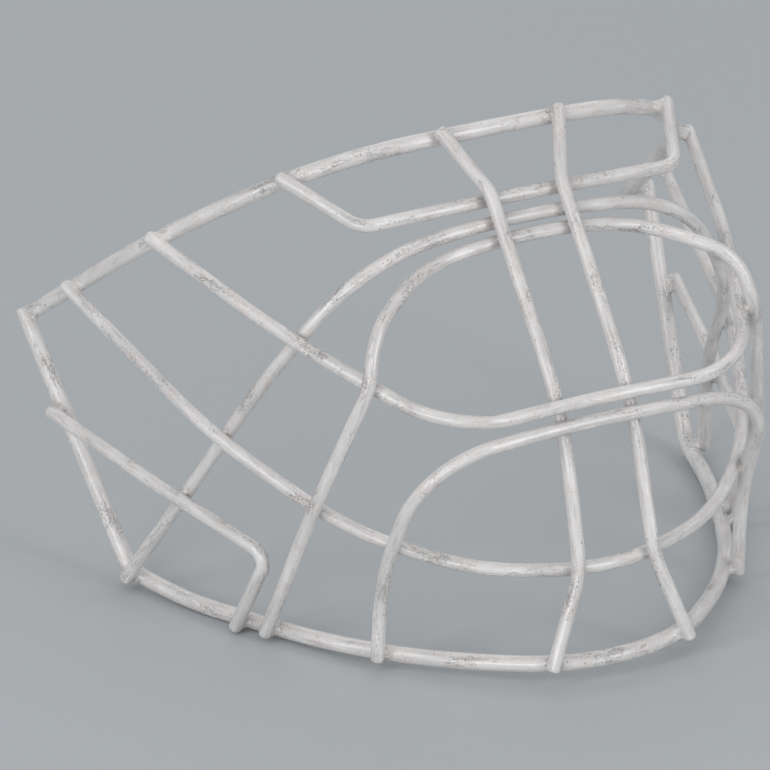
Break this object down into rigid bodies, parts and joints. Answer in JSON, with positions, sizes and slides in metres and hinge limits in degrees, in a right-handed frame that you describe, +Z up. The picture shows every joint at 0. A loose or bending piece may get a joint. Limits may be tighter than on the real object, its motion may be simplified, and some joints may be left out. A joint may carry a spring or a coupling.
{
  "type": "goalie mask cage",
  "caption": "Curved face cage of a hockey goalie's mask: bent, layered steel bars welded to a crown arch and a lower rim, open in front of the eyes.",
  "frame": {"origin": "bottom centre of the box: the middle of its width and depth, on the plane that the cage stands on", "axes": "+X to the wearer's left, +Y towards the back of the head, +Z up"},
  "size_m": [0.2712, 0.2202, 0.1802],
  "materials": {
    "paint": "glossy off-white powder coat on steel wire",
    "weld_paint": "rough, thinly coated weld metal"
  },
  "bodies": {
    "root": {"crown_arch": "paint", "lower_rim": "paint", "visor_bar": "paint", "brow_bar": "paint", "eye_bar": "paint", "cheek_bar": "paint", "mouth_bar": "paint", "chin_bar": "paint", "centre_bar_left": "paint", "centre_bar_right": "paint", "jaw_bar_left": "paint", "jaw_bar_right": "paint", "crown_welds": "weld_paint", "rim_welds": "weld_paint", "brow_welds": "weld_paint", "nose_welds": "weld_paint", "cheek_welds": "weld_paint", "mouth_welds": "weld_paint", "chin_welds": "weld_paint", "jaw_welds": "weld_paint"}
  },
  "joints": []
}
